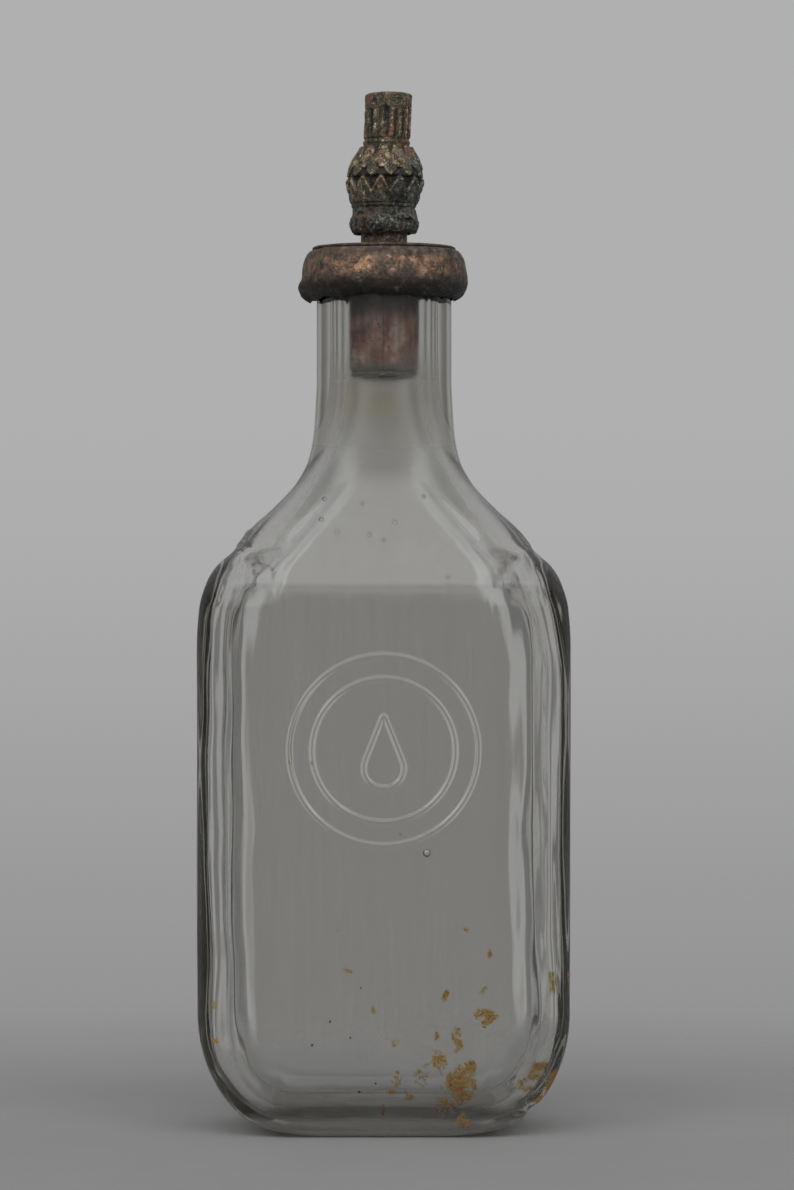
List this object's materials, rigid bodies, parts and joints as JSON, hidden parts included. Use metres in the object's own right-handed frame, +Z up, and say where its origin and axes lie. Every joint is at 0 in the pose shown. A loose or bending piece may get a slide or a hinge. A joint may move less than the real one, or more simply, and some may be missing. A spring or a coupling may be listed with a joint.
{
  "type": "glass oil bottle with screw-capped pouring stopper",
  "caption": "Flat clear-glass oil bottle with bevelled corners, sloping shoulders and a thick round neck, closed by a corked metal pouring stopper with an ornamental screw cap.",
  "frame": {"origin": "centre of the flat ring the bottle stands on", "axes": "+Z up along the neck's axis, front face of the body towards -Y, wide side along X"},
  "size_m": [0.08, 0.046, 0.2238],
  "materials": {
    "clear_glass": "polished, slightly wavy",
    "aged_copper": "dark copper patina with worn bright band",
    "aged_brass": "dark tarnished brass with bright high points",
    "cork": "oil-soaked, dull",
    "leather": "old, dull"
  },
  "bodies": {
    "bottle": {"glass_bottle": "clear_glass"},
    "stopper": {"base_washer": "aged_brass", "cork_sleeve": "cork", "lip_gasket": "leather", "collar_shell": "aged_copper", "top_plate": "aged_brass", "spout_tube": "aged_brass"},
    "sealing_disc": {"cap_liner": "leather"},
    "cap": {"cap_bush": "aged_brass", "cap_cup": "aged_brass", "cap_leaf_shell": "aged_brass", "cap_stem": "aged_brass"}
  },
  "joints": [
    {"name": "stopper_pull", "type": "slide", "parent": "bottle", "child": "stopper", "axis": [0, 0, 1], "range_m": [0, 0.045]},
    {"name": "cap_lift", "type": "slide", "parent": "stopper", "child": "sealing_disc", "axis": [0, 0, 1], "range_m": [0, 0.0048]},
    {"name": "cap_turn", "type": "hinge", "parent": "sealing_disc", "child": "cap", "pos_m": [0, 0, 0.198], "axis": [0, 0, 1], "range_deg": [0, 1080]}
  ],
  "couplings": [
    {"joint": "cap_lift", "follows": "cap_turn", "m_per_rad": 0.00025464}
  ]
}
